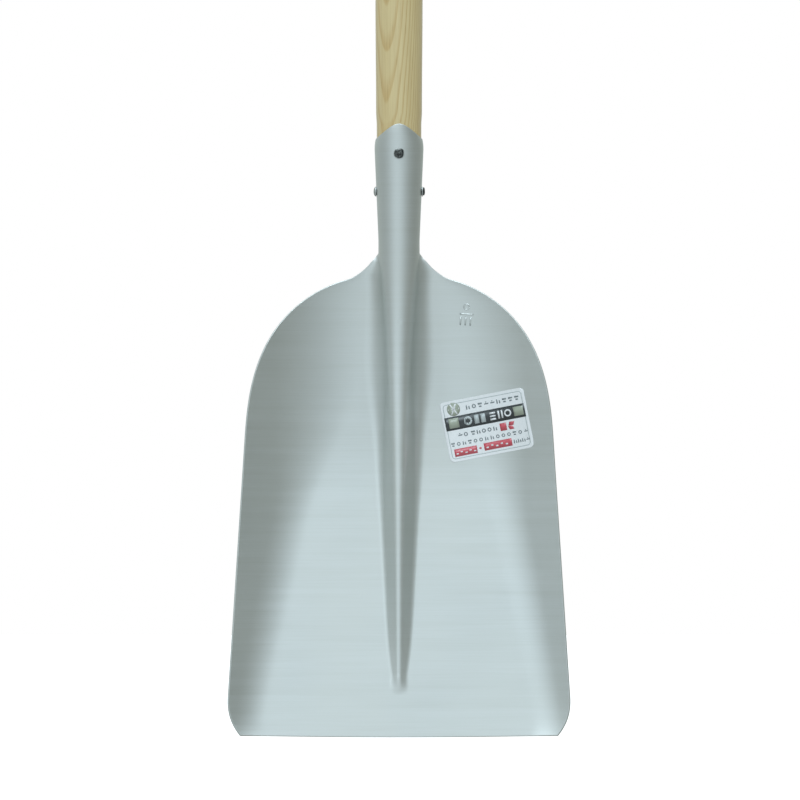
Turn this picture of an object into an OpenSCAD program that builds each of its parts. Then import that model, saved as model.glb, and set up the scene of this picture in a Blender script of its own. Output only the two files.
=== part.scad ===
// Snow shovel: a pressed-aluminium scoop with a rolled socket, on a straight wooden shaft
// with a pressed-steel D-grip. Millimetres. +Z runs up the shaft, +X to the right, and the
// hollow of the scoop faces -Y. The origin is under the middle of the grip bar, where the
// shovel hangs. Inside the modules, heights are counted from the cutting edge.

/* [Blade] */
// Widest width of the blade
blade_w = 248; // [236:1:256]
// Thickness of the aluminium sheet
sheet_t = 1.5; // [1.2:0.1:1.8]
// Lean of the blade's floor away from the shaft's line, in degrees
lift = 17; // [15:0.5:18]
// Slope of the side walls against the floor, in degrees
wall_slope = 35; // [28:1:38]

/* [Socket] */
// Outer radius of the socket at its mouth
mouth_r = 17.7; // [17.5:0.05:17.9]
// Outer radius of the socket at the neck
neck_r = 14.55; // [14.4:0.05:14.8]
// Radius of the rivets' shanks
rivet_r = 2.5; // [2:0.1:3]

/* [Shaft] */
// Radius of the wooden shaft
shaft_r = 17.1; // [16.8:0.05:17.4]
// Height of the shaft's top end above the cutting edge
shaft_top = 870; // [700:1:1000]

/* [Grip] */
// Radius of the hand opening's round bottom, and half the width between the arms
hand_r = 48; // [44:1:56]
// Width of the yoke's arms
arm_w = 18; // [16:1:22]
// Thickness of the yoke's steel sheet
yoke_t = 1.6; // [1.2:0.1:2]
// Radius of the wooden grip bar at its middle
bar_r = 15; // [13:0.5:16]
// Radius of the steel pin through the grip bar
pin_r = 4; // [3:0.5:5]

/* [Label] */
// Width of the adhesive label
label_w = 62; // [40:0.5:64]
// Height of the adhesive label
label_h = 44; // [30:0.5:46]

/* [Hidden] */

// The shaft's axis runs straight up, this far behind the cutting edge
axis_y = 72;
clear = 0.05;

// Heights on the blade and socket, from the cutting edge
rib_tip_z = 30;
shoulder_z = 212;
shoulder_h = 122.4;
neck_z = 350;
side_rivet_z = 394;
front_rivet_z = 421.5;
mouth_z = 424;
tongue_z = 443;

// Heights on the grip
ring_z = shaft_top + 70;
bar_z = ring_z + 25;
arm_top = bar_z + 13;
hang_z = bar_z - bar_r;
ferrule_bottom = shaft_top - 40;
ferrule_top = shaft_top + 1;
yoke_rivet_z = shaft_top - 20;
ring_r = hand_r + arm_w;
pan_d = arm_w / 2;

function smooth(a, b, z) = let (t = min(1, max(0, (z - a) / (b - a)))) t * t * (3 - 2 * t);
function arc_len(r, angle) = r * angle * PI / 180;

// The larger or smaller of two values, rounded over where they cross
function larger(a, b, blend) = (a + b + sqrt(pow(a - b, 2) + pow(blend, 2))) / 2;
function smaller(a, b, blend) = -larger(-a, -b, blend);

// ---- Blade and socket: the sheet's front face, as sections at constant height ----

// Outer radius of the socket
socket_taper = (mouth_r - neck_r) / (mouth_z - neck_z);
function socket_r(z) = min(mouth_r, neck_r + socket_taper * (z - neck_z));

// Half width of the blade: near-straight sides, a superellipse shoulder, cut corners at the
// bottom, and a round flare up to the neck
side_taper = 0.0635;
shoulder_power = [2.8, 2.3];
corner_cut = [10.6, 30.5, 2.45];
flare = [neck_z + 17.6, 53.1, 40.6];
flare_low = 328;
flare_join = [326, 333];
function shoulder_w(z) =
    let (q = min(1, max(0, (z - shoulder_z) / shoulder_h)))
    (blade_w / 2 + 1.4 - side_taper * z) * pow(1 - pow(q, shoulder_power[0]), 1 / shoulder_power[1])
    - corner_cut[0] * pow(max(0, 1 - z / corner_cut[1]), corner_cut[2]);
function flare_w(z) = flare[1] - sqrt(pow(flare[2], 2) - pow(flare[0] - max(z, flare_low), 2));
function half_width(z) =
    let (w = smooth(flare_join[0], flare_join[1], z)) (1 - w) * shoulder_w(z) + w * flare_w(min(z, neck_z));

// The floor runs straight back from the cutting edge, then bends up to the neck
floor_bend_z = 175;
floor_end_slope = -0.05;
function floor_y(z) =
    let (u = max(0, min(z, neck_z) - floor_bend_z), s = tan(lift), span = neck_z - floor_bend_z)
    s * (min(z, floor_bend_z) + u) + (floor_end_slope - s) * u * u / (2 * span);

// The crest of the rib runs straight up the blade, then bends into the front of the socket
crest_bend_z = 250;
rib_start_z = 45;
rib_start_h = 2.7;
crest_span = neck_z - crest_bend_z;
crest_slope = (axis_y - neck_r + socket_taper * crest_span / 2 - floor_y(rib_start_z) + rib_start_h)
              / (crest_bend_z - rib_start_z + crest_span / 2);
function crest_y(z) =
    z >= neck_z ? axis_y - socket_r(z) :
    let (u = neck_z - z, v = max(0, crest_bend_z - z), w = min(u, crest_span))
    axis_y - neck_r + socket_taper * w - (crest_slope + socket_taper) * w * w / (2 * crest_span)
    - crest_slope * v;

// Rib: slope of its flanks, radius of its crest, and radius of its foot
function flank_slope(z) =
    min(90, smaller(42 + 0.17 * (z - 48) - 10 * (1 - smooth(30, 120, z)), 72, 8) + 18 * smooth(334, 349, z));
function crest_r(z) = 3.8 + 11.2 * pow(max(0, (z - 60) / (neck_z - 60)), 2.2);
function foot_r(z) =
    5 + 4 * smooth(140, 215, z) + 8 * smooth(205, 268, z) - 5 * smooth(268, 330, z)
    - 11 * smooth(333, 350, z);

// Distance from the middle to the fold between floor and wall, and radius of that fold
function fold_x(z) = larger(115 - 0.22 * z, 60, 8);
function fold_r(z) = 38 + 12 * smooth(0, 150, z) + 62 * smooth(150, 265, z);

// Number of steps along the rib's crest, flank and foot, and along the floor and wall
crest_n = 5;
flank_n = 2;
foot_n = 4;
outer_n = 11;
half_n = crest_n + flank_n + foot_n + outer_n;

// A half section is a walk of short arcs, each a length and a turn in degrees
function arc_steps(n, length, turn) = [for (i = [1 : n]) [length / n, turn / n]];

// The rib's shape at a height: flank slope, crest radius, foot radius, flank length
function rib(z) =
    let (h = min(max(z, rib_start_z), neck_z), a = flank_slope(h), rc = crest_r(h), rf = foot_r(h))
    [a, rc, rf, (floor_y(h) - crest_y(h) - (rc + rf) * (1 - cos(a))) / sin(a)];

// Between these heights the rib's feet fade out, and its flanks become the socket's sides
foot_fade = [343, 351];

// How far the rib has risen out of the floor above its lower tip, from 0 to 1
function rib_rise(z) = smooth(rib_tip_z, rib_tip_z + 14, z);

// Half width of the rib with its feet
function rib_w(z) =
    let (r = rib(z), k = pow(rib_rise(z), 2), flat = arc_len(r[1] + r[2], r[0]) + r[3],
         full = (r[1] + r[2]) * sin(r[0]) + r[3] * cos(r[0]))
    flat + (full - flat) * k;

// Floor and wall at a height: flat width, fold radius, fold angle and wall length
function outer(z) =
    let (wide = max(0.3, half_width(z) - sheet_t * sin(wall_slope) - rib_w(z)),
         fold_at = smaller(larger(fold_x(z) - rib_w(z), 11, 14), 0.9 * wide + 6, 12),
         tangent = smaller(fold_r(z) * tan(wall_slope / 2), fold_at, 4),
         r = tangent / tan(wall_slope / 2),
         flat = min(fold_at - tangent, wide),
         angle = min(wall_slope, asin(min(1, (wide - flat) / r))))
    [flat, r, angle, max(0, (wide - flat - r * sin(angle)) / cos(angle))];
function outer_heading(o, s) = -min(o[2], max(0, s - o[0]) / o[1] * 180 / PI);

function blade_steps(z) =
    let (r = rib(z), k = rib_rise(z), f = 1 - smooth(foot_fade[0], foot_fade[1], z), o = outer(z),
         ds = (o[0] + arc_len(o[1], o[2]) + o[3]) / outer_n)
    concat(arc_steps(crest_n, arc_len(r[1], r[0]), r[0] * k),
           arc_steps(flank_n, r[3], 0),
           arc_steps(foot_n, arc_len(r[2], r[0]), -r[0] * k * f),
           [for (i = [1 : outer_n]) [ds, outer_heading(o, ds * i) - outer_heading(o, ds * (i - 1))]]);

// The rolled socket: the same steps laid round a circle, with a narrow seam at the back
seam = 1.4;
function socket_arcs(z) =
    let (end = 180 - asin(seam / 2 / socket_r(z)))
    [[crest_n, 75], [flank_n, 20], [foot_n, 38], [outer_n, end - 133]];
function socket_steps(z) =
    [for (a = socket_arcs(z)) each arc_steps(a[0], arc_len(socket_r(z), a[1]), a[1])];

// Between these heights the sheet rolls from the open blade to the closed socket
// The edge is trimmed there, so that it lies close to the socket
roll = [345, 362];
roll_trim = 0.35;
function steps(z) =
    let (w = smooth(roll[0], roll[1], z), b = blade_steps(z), s = socket_steps(max(z, neck_z)),
         trim = 1 - roll_trim * sin(180 * w))
    [for (i = [0 : half_n - 1])
        let (m = (1 - w) * b[i] + w * s[i]) i < half_n - outer_n ? m : [m[0] * trim, m[1]]];

// Walks the steps and gives a list of [x, y, heading]
function chord(step, a) =
    let (half = step[1] / 2, f = abs(half) < 1e-4 ? 1 : sin(half) / (half * PI / 180))
    step[0] * f * [cos(a + half), sin(a + half)];
function walk(st) =
    [for (i = 0, p = [0, 0], a = 0; i <= len(st);
          p = i < len(st) ? p + chord(st[i], a) : p, a = i < len(st) ? a + st[i][1] : a, i = i + 1)
        [p[0], p[1], a]];

// Below this height a section hangs from the floor, and above it from the crest
floor_ruled_z = 150;
function section(z) =
    let (w = walk(steps(z)),
         dy = z < floor_ruled_z ? floor_y(z) - w[half_n - outer_n][1] : crest_y(z))
    [for (p = w) [p[0], p[1] + dy, p[2]]];

// The cutting edge bows out by this much in the middle
edge_bow = 1.5;
function bow(x, z) = edge_bow * pow(x / (blade_w / 2), 2) * pow(max(0, 1 - z / 40), 2);

// Socket mouth: a rounded peak at the front, lower at the sides, lowest at the seam
rim_dip = 16.2;
rim_peak = 0.4;
rim_back_dip = 13.7;
function rim_z(a) =
    tongue_z - rim_dip * (sqrt(pow(sin(a), 2) + pow(rim_peak, 2)) - rim_peak)
    - (a > 90 ? rim_back_dip * (1 - sin(a)) : 0);

// The last few millimetres of the mouth are rounded down on to the wood
rim_round = 7;
function rim_q(d) = pow(max(0, 1 - d / rim_round), 2);

// Heights of the sections, and distances below the rim of the last ones
plain_z = 400;
STATIONS = concat([0, 4, 9, 15, 22], [for (z = [29 : 4 : 45]) z], [54, 64], [for (z = [76 : 15 : 286]) z],
                  [296, 304, 311, 317, 321, 325, 328, 331], [for (z = [334 : 2.5 : 361.5]) z],
                  [372, 386, plain_z]);
RIM_DROPS = [26, 18, 12, 7, 4.5, 2.5, 1, 0];

// Right half of the sheet at one height: front or back face
function sheet_row(z, back) =
    [for (p = section(z))
        [p[0] - back * sheet_t * sin(p[2]), p[1] + back * sheet_t * cos(p[2]), z + bow(p[0], z)]];

// Right half of the socket's top, a distance below the rim
function rim_angles(z) = [for (p = walk(socket_steps(z))) p[2]];
function rim_row(drop, back) =
    [for (a = rim_angles(plain_z))
        let (z = rim_z(a) - drop, q = rim_q(drop),
             r = socket_r(z) - 0.75 * q - back * (sheet_t - 0.85 * q))
        [r * sin(a), axis_y - r * cos(a), z]];

// A whole row, from the left edge over the crest to the right edge
function mirrored(row) =
    concat([for (i = [len(row) - 1 : -1 : 1]) [-row[i][0], row[i][1], row[i][2]]], row);
function face_rows(back) =
    concat([for (z = STATIONS) mirrored(sheet_row(z, back))],
           [for (d = RIM_DROPS) mirrored(rim_row(d, back))]);

// Closed skin over two grids of rows, the second behind the first
module sheet_solid(front, back) {
    rows = len(front);
    cols = len(front[0]);
    points = concat([for (r = front) each r], [for (r = back) each r]);
    function at(s, j, i) = (s * rows + j) * cols + i;
    function quad(a, b, c, d) = [[a, b, c], [a, c, d]];
    grid = [for (j = [0 : rows - 2]) for (i = [0 : cols - 2])
        each concat(quad(at(0, j, i), at(0, j + 1, i), at(0, j + 1, i + 1), at(0, j, i + 1)),
                    quad(at(1, j, i), at(1, j, i + 1), at(1, j + 1, i + 1), at(1, j + 1, i)))];
    sides = [for (j = [0 : rows - 2])
        each concat(quad(at(0, j, 0), at(1, j, 0), at(1, j + 1, 0), at(0, j + 1, 0)),
                    quad(at(0, j, cols - 1), at(0, j + 1, cols - 1),
                         at(1, j + 1, cols - 1), at(1, j, cols - 1)))];
    ends = [for (i = [0 : cols - 2])
        each concat(quad(at(0, 0, i), at(0, 0, i + 1), at(1, 0, i + 1), at(1, 0, i)),
                    quad(at(0, rows - 1, i), at(1, rows - 1, i),
                         at(1, rows - 1, i + 1), at(0, rows - 1, i + 1)))];
    polyhedron(points, concat(grid, sides, ends));
}

// Moves from heights above the cutting edge to the shovel's own origin
module place() translate([0, -axis_y, -hang_z]) children();
module on_axis(z) place() translate([0, axis_y, z]) children();

module blade() {
    color([0.78, 0.80, 0.79])
    difference() {
        place() sheet_solid(face_rows(0), face_rows(1));
        on_axis(front_rivet_z) along_y(rivet_r + clear, 60);
        on_axis(side_rivet_z) along_x(rivet_r + clear, 60);
    }
}

// Straight round bars through a point, along Y or X
module along_y(r, length) rotate([90, 0, 0]) cylinder(r = r, h = length, center = true, $fn = 48);
module along_x(r, length) rotate([0, 90, 0]) cylinder(r = r, h = length, center = true, $fn = 48);

// ---- Label: a thin film laid over the fold, right of the rib ----

label_at = [63.5, 224.7];
label_turn = 11;
label_gap = 0.45;
label_film = 0.15;
label_cells = [18, 10];

// Depth of the scoop's front face at a point of its floor or wall
function face_y(x, z) =
    let (o = outer(z), d = max(0, x - rib_w(z) - o[0]), e = min(d, o[1] * sin(o[2])))
    floor_y(z) - o[1] + sqrt(o[1] * o[1] - e * e) - (d - e) * tan(o[2]);

function label_row(j, lift_off) =
    [for (i = [0 : label_cells[0]])
        let (u = (i / label_cells[0] - 0.5) * label_w, v = (j / label_cells[1] - 0.5) * label_h,
             x = label_at[0] + u * cos(label_turn) - v * sin(label_turn),
             z = label_at[1] + u * sin(label_turn) + v * cos(label_turn))
        [x, face_y(x, z) - lift_off, z]];

module label() {
    color("white")
    place() sheet_solid([for (j = [0 : label_cells[1]]) label_row(j, label_gap + label_film)],
                        [for (j = [0 : label_cells[1]]) label_row(j, label_gap)]);
}

// ---- Shaft: straight above the socket, tapered inside it, with a rounded lower tip ----

function in_socket_r(z) = socket_r(z) - sheet_t - clear;
tip_z = 304;
tip_r = 9.8;
tip_corner = 3;

module shaft() {
    color([0.78, 0.70, 0.52])
    difference() {
        place() translate([0, axis_y, 0]) rotate_extrude($fn = 96) polygon(concat(
            [[0, tip_z]],
            [for (a = [0 : 15 : 90]) [tip_r - tip_corner * (1 - sin(a)), tip_z + tip_corner * (1 - cos(a))]],
            [[in_socket_r(neck_z) - 0.1, neck_z + 2], [in_socket_r(mouth_z), mouth_z],
             [in_socket_r(mouth_z), tongue_z], [shaft_r - 0.45, tongue_z + 8],
             [shaft_r, tongue_z + 90],
             [shaft_r, shaft_top - 1.5], [shaft_r - 1.5, shaft_top], [0, shaft_top]]));
        on_axis(front_rivet_z) along_y(rivet_r + clear, 60);
        on_axis(side_rivet_z) along_x(rivet_r + clear, 60);
        on_axis(yoke_rivet_z) along_y(rivet_r + clear, 60);
    }
}

// ---- Rivets and their burrs ----

burr_t = 0.8;

// Domed head of a rivet, flat side down on z = 0
module dome(r, h) {
    ball = (r * r + h * h) / (2 * h);
    rotate_extrude($fn = 48) intersection() {
        translate([0, h - ball]) circle(r = ball, $fn = 96);
        square([r, h]);
    }
}

// Rivet along +Z: head below z = 0, shank up to the grip length, hammered tail on top
module rivet(r, grip, head, tail) {
    mirror([0, 0, 1]) dome(head[0], head[1]);
    cylinder(r = r, h = grip, $fn = 48);
    translate([0, 0, grip]) dome(tail[0], tail[1]);
}

module burr(r_in, r_out) {
    difference() {
        cylinder(r = r_out, h = burr_t, $fn = 48);
        translate([0, 0, -1]) cylinder(r = r_in, h = burr_t + 2, $fn = 48);
    }
}

module front_rivet() {
    r = socket_r(front_rivet_z) + clear;
    color([0.45, 0.45, 0.44]) on_axis(front_rivet_z) translate([0, r, 0]) rotate([90, 0, 0])
        rivet(rivet_r, 2 * r + burr_t + clear, [4.6, 2.2], [3.3, 1.3]);
}

module front_burr() {
    color([0.7, 0.7, 0.68]) on_axis(front_rivet_z)
        translate([0, -socket_r(front_rivet_z) - clear, 0]) rotate([90, 0, 0]) burr(rivet_r + clear, 4.1);
}

module side_rivet() {
    r = socket_r(side_rivet_z) + clear;
    color([0.45, 0.45, 0.44]) on_axis(side_rivet_z) translate([-r, 0, 0]) rotate([0, 90, 0])
        rivet(rivet_r, 2 * r + burr_t + clear, [3.6, 2], [3.2, 1.4]);
}

module side_burr() {
    color([0.7, 0.7, 0.68]) on_axis(side_rivet_z)
        translate([socket_r(side_rivet_z) + clear, 0, 0]) rotate([0, 90, 0]) burr(rivet_r + clear, 3.6);
}

// ---- D-grip: two pressed shells meet at the shaft's middle plane and clamp the shaft's top ----

ferrule_r = shaft_r + clear + yoke_t;
shoulder_top = ring_z - hand_r - 2;
shoulder_x = 24;

// The D's outline in the XZ plane, inset by a margin
module grip_outline(inset) {
    difference() {
        union() {
            intersection() {
                translate([0, ring_z]) circle(r = ring_r - inset, $fn = 180);
                translate([-ring_r, ring_z - ring_r]) square([2 * ring_r, ring_r]);
            }
            translate([-ring_r + inset, ring_z])
                square([2 * (ring_r - inset), arm_top - ring_z - inset]);
        }
        translate([0, ring_z]) circle(r = hand_r + inset, $fn = 180);
        translate([-hand_r - inset, ring_z]) square([2 * (hand_r + inset), arm_top - ring_z + 1]);
    }
}

// Half of a round ferrule that widens into the D, filled solid, on the +Y side
module ferrule_half(r, x, depth, bottom, top) {
    intersection() {
        union() {
            translate([0, 0, bottom]) cylinder(r = r, h = ferrule_top - bottom, $fn = 96);
            hull() {
                translate([0, 0, ferrule_top - 1]) cylinder(r = r, h = 1, $fn = 32);
                translate([-x, -depth, top - 1]) cube([2 * x, 2 * depth, 1]);
            }
        }
        translate([-100, 0, bottom - 1]) cube([200, 100, 200]);
    }
}

module yoke_shell() {
    difference() {
        union() {
            translate([0, pan_d, 0]) rotate([90, 0, 0]) linear_extrude(pan_d) grip_outline(0);
            ferrule_half(ferrule_r, shoulder_x, pan_d, ferrule_bottom, shoulder_top);
        }
        translate([0, pan_d - yoke_t, 0]) rotate([90, 0, 0])
            linear_extrude(pan_d) grip_outline(yoke_t);
        ferrule_half(ferrule_r - yoke_t, shoulder_x - yoke_t, pan_d - yoke_t,
                     ferrule_bottom - 1, shoulder_top - 1);
        translate([0, 0, yoke_rivet_z]) along_y(rivet_r + clear, 60);
        translate([0, 0, bar_z]) along_x(pin_r + clear, 2 * ring_r + 2);
        for (p = ARM_RIVETS) translate([p[0], 0, p[1]]) along_y(arm_rivet_r + clear, 60);
    }
}

module yoke_back() {
    color([0.32, 0.34, 0.36]) on_axis(0) yoke_shell();
}

module yoke_front() {
    color([0.35, 0.37, 0.39]) on_axis(0) mirror([0, 1, 0]) yoke_shell();
}

// Two small rivets in each arm hold the shells together
arm_rivet_r = 2;
ring_mid = hand_r + arm_w / 2;
ARM_RIVETS = [for (a = [-72, -34, 34, 72]) [ring_mid * sin(a), ring_z - ring_mid * cos(a)]];

module arm_rivets() {
    color([0.5, 0.5, 0.5])
    for (p = ARM_RIVETS)
        on_axis(p[1]) translate([p[0], pan_d, 0]) rotate([90, 0, 0])
            rivet(arm_rivet_r, 2 * pan_d, [4, 1.8], [3.6, 1.4]);
}

module yoke_rivet() {
    r = ferrule_r + clear;
    color([0.5, 0.5, 0.5]) on_axis(yoke_rivet_z) translate([0, r, 0]) rotate([90, 0, 0])
        rivet(rivet_r, 2 * r + burr_t + clear, [4.6, 2.2], [3.4, 1.4]);
}

module yoke_rivet_burr() {
    color([0.7, 0.7, 0.68]) on_axis(yoke_rivet_z)
        translate([0, -ferrule_r - clear, 0]) rotate([90, 0, 0]) burr(rivet_r + clear, 4.4);
}

// ---- Grip bar: turned wood on a steel pin, between cupped washers ----

washer_t = 1.5;
bar_half = hand_r - washer_t - clear;
bar_end_r = bar_r - 1.6;
bar_swell_r = (pow(bar_half, 2) + pow(bar_r - bar_end_r, 2)) / (2 * (bar_r - bar_end_r));

module grip_bar() {
    color([0.74, 0.65, 0.46])
    on_axis(bar_z) rotate([0, 90, 0]) difference() {
        rotate_extrude($fn = 96) intersection() {
            translate([bar_r - bar_swell_r, 0]) circle(r = bar_swell_r, $fn = 720);
            polygon([[0, -bar_half], [bar_end_r - 2, -bar_half], [bar_r, -bar_half + 3.5],
                     [bar_r, bar_half - 3.5], [bar_end_r - 2, bar_half], [0, bar_half]]);
        }
        cylinder(r = pin_r + 2 * clear, h = 3 * bar_half, center = true, $fn = 48);
    }
}

module grip_pin() {
    color([0.55, 0.55, 0.56]) on_axis(bar_z) translate([-ring_r, 0, 0]) rotate([0, 90, 0])
        rivet(pin_r, 2 * ring_r, [7, 2.6], [6.4, 2]);
}

module grip_washers() {
    color([0.6, 0.6, 0.6])
    for (s = [-1, 1])
        on_axis(bar_z) translate([s * (hand_r - washer_t / 2 - clear / 2), 0, 0]) rotate([0, 90, 0])
            difference() {
                cylinder(r = 10.5, h = washer_t - clear, center = true, $fn = 64);
                cylinder(r = pin_r + clear, h = 4, center = true, $fn = 48);
            }
}

blade();
label();
shaft();
front_rivet();
front_burr();
side_rivet();
side_burr();
yoke_front();
yoke_back();
arm_rivets();
yoke_rivet();
yoke_rivet_burr();
grip_bar();
grip_pin();
grip_washers();
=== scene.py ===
"""Snow shovel: the detailed visual model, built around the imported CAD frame.

Shape functions work in millimetres: x from the middle, y behind the cutting edge, z above it.
row_point() turns such a point into the row's own frame, in metres.
"""
import random
from math import asin, cos, hypot, pi, radians, sin, sqrt, tan

import bmesh
import bpy
import numpy as np
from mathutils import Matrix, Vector, noise

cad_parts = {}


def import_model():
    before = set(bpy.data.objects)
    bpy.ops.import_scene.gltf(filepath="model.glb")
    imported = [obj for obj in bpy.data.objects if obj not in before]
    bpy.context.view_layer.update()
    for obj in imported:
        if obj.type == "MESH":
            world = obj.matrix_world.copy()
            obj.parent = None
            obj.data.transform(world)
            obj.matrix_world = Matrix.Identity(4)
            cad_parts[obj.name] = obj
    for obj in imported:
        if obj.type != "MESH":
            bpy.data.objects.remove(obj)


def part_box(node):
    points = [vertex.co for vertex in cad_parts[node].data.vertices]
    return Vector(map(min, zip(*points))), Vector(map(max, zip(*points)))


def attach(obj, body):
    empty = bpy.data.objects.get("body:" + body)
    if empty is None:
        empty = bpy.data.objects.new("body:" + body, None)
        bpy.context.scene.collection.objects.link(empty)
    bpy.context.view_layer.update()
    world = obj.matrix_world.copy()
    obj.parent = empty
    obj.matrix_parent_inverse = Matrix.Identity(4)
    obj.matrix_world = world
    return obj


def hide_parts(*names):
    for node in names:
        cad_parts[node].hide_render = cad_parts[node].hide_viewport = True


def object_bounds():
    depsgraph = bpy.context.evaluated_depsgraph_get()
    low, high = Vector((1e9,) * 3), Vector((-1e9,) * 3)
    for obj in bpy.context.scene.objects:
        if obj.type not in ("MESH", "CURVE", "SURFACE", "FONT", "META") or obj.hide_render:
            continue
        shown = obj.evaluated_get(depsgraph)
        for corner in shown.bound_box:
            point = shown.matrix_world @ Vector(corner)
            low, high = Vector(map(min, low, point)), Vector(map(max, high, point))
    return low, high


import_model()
CAD_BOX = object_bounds()
MM = 0.001

# ---- Main sizes of the design, in millimetres ----

BLADE_W = 248
SHEET_T = 1.5
LIFT = radians(17)
WALL_SLOPE = radians(35)
MOUTH_R = 17.7
NECK_R = 14.55
SHAFT_R = 17.1
HAND_R = 48
ARM_W = 18
BAR_R = 15
PIN_R = 4
RIVET_R = 2.5
AXIS_Y = 72
NECK_Z = 350
MOUTH_Z = 424
TONGUE_Z = 443
TIP_ROW_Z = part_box("blade")[0].z / MM
SHAFT_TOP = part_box("shaft")[1].z / MM - TIP_ROW_Z
BAR_Z = (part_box("grip_pin")[0].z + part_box("grip_pin")[1].z) / 2 / MM - TIP_ROW_Z
ARM_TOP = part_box("yoke_front")[1].z / MM - TIP_ROW_Z
FERRULE_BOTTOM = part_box("yoke_front")[0].z / MM - TIP_ROW_Z
FRONT_RIVET_Z = (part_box("front_burr")[0].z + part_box("front_burr")[1].z) / 2 / MM - TIP_ROW_Z
SIDE_RIVET_Z = (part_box("side_burr")[0].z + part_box("side_burr")[1].z) / 2 / MM - TIP_ROW_Z
YOKE_RIVET_Z = (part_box("yoke_rivet_burr")[0].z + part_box("yoke_rivet_burr")[1].z) / 2 / MM - TIP_ROW_Z


def row_point(x, y, z):
    """A design point in millimetres, as a point in the row's frame, in metres."""
    return Vector((x * MM, (y - AXIS_Y) * MM, (z + TIP_ROW_Z) * MM))


def smooth(a, b, z):
    t = min(1.0, max(0.0, (z - a) / (b - a)))
    return t * t * (3 - 2 * t)


def larger(a, b, blend):
    """The larger of two values, rounded over where they cross."""
    return (a + b + hypot(a - b, blend)) / 2


def smaller(a, b, blend):
    return -larger(-a, -b, blend)


# ---- Mesh helpers ----

def new_object(name, verts, faces, materials, replaces=()):
    """A smooth-shaded mesh piece that rides on the one body."""
    mesh = bpy.data.meshes.new(name)
    mesh.from_pydata([tuple(v) for v in verts], [], faces)
    mesh.validate()
    obj = bpy.data.objects.new(name, mesh)
    bpy.context.scene.collection.objects.link(obj)
    for m in materials:
        mesh.materials.append(m)
    finish_piece(obj, replaces)
    return obj


def finish_piece(obj, replaces=()):
    bm = bmesh.new()
    bm.from_mesh(obj.data)
    bmesh.ops.recalc_face_normals(bm, faces=bm.faces)
    bm.to_mesh(obj.data)
    bm.free()
    obj.data.polygons.foreach_set("use_smooth", [True] * len(obj.data.polygons))
    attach(obj, "root")
    if replaces:
        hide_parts(*replaces)


def lathe(profile, segments=96, wobble=None):
    """Vertices and faces of a closed turned solid about +Z; profile runs from axis to axis."""
    verts = [Vector((0, 0, profile[0][1]))]
    inner = profile[1:-1]
    for r, z in inner:
        for k in range(segments):
            a = 2 * pi * k / segments
            rr, zz = wobble(r, z, a) if wobble else (r, z)
            verts.append(Vector((rr * cos(a), rr * sin(a), zz)))
    verts.append(Vector((0, 0, profile[-1][1])))
    last = len(verts) - 1
    faces = [(0, 1 + (k + 1) % segments, 1 + k) for k in range(segments)]
    for j in range(len(inner) - 1):
        a, b = 1 + j * segments, 1 + (j + 1) * segments
        faces += [(a + k, a + (k + 1) % segments, b + (k + 1) % segments, b + k) for k in range(segments)]
    end = 1 + (len(inner) - 1) * segments
    faces += [(end + k, end + (k + 1) % segments, last) for k in range(segments)]
    return verts, faces


def ring_lathe(profile, segments=72):
    """Vertices and faces of a turned ring about +Z; the profile is a closed loop."""
    verts, faces, n = [], [], len(profile)
    for k in range(segments):
        a = 2 * pi * k / segments
        verts += [Vector((r * cos(a), r * sin(a), z)) for r, z in profile]
    for k in range(segments):
        a, b = k * n, (k + 1) % segments * n
        faces += [(a + j, b + j, b + (j + 1) % n, a + (j + 1) % n) for j in range(n)]
    return verts, faces


def turned(verts, axis, at):
    """Moves a piece made along +Z so that it points along axis, with its origin at a design point."""
    turn = Vector((0, 0, 1)).rotation_difference(Vector(axis)).to_matrix()
    origin = row_point(*at)
    return [origin + turn @ (v * MM) for v in verts]


# ---- Node material helpers ----

def principled(name, color, metallic, roughness):
    mat = bpy.data.materials.new(name)
    mat.use_nodes = True
    shader = mat.node_tree.nodes["Principled BSDF"]
    shader.inputs["Base Color"].default_value = (*color, 1)
    shader.inputs["Metallic"].default_value = metallic
    shader.inputs["Roughness"].default_value = roughness
    return mat, mat.node_tree, shader


def node(tree, kind, inputs=None, **settings):
    n = tree.nodes.new(kind)
    for key, value in settings.items():
        setattr(n, key, value)
    for key, value in (inputs or {}).items():
        if hasattr(value, "is_output"):
            tree.links.new(value, n.inputs[key])
        else:
            n.inputs[key].default_value = value
    return n


def scaled_coords(tree, scale, coords=None):
    """Object coordinates stretched by a scale, in features per metre."""
    if coords is None:
        coords = node(tree, "ShaderNodeTexCoord").outputs["Object"]
    return node(tree, "ShaderNodeMapping", {"Vector": coords, "Scale": scale}).outputs["Vector"]


def noise_value(tree, scale, detail=3.0, rough=0.5, coords=None):
    n = node(tree, "ShaderNodeTexNoise", {"Vector": scaled_coords(tree, scale, coords), "Scale": 1.0,
                                          "Detail": detail, "Roughness": rough})
    return n.outputs["Fac"]


def math_node(tree, operation, a, b=0.0, c=0.0):
    return node(tree, "ShaderNodeMath", {0: a, 1: b, 2: c}, operation=operation).outputs[0]


def remap(tree, value, low, high, to_low, to_high, kind="LINEAR"):
    ranges = {"Value": value, "From Min": low, "From Max": high, "To Min": to_low, "To Max": to_high}
    return node(tree, "ShaderNodeMapRange", ranges, interpolation_type=kind).outputs["Result"]


def mix_color(tree, factor, a, b, blend="MIX"):
    n = node(tree, "ShaderNodeMix", data_type="RGBA", blend_type=blend)
    for key, value in ((0, factor), (6, a), (7, b)):
        if hasattr(value, "is_output"):
            tree.links.new(value, n.inputs[key])
        else:
            n.inputs[key].default_value = (*value, 1) if isinstance(value, tuple) else value
    return n.outputs[2]


def bump(tree, height, distance, strength=1.0, normal=None):
    n = node(tree, "ShaderNodeBump", {"Height": height, "Distance": distance, "Strength": strength})
    if normal is not None:
        tree.links.new(normal, n.inputs["Normal"])
    return n.outputs["Normal"]


# ---- Materials ----

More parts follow.
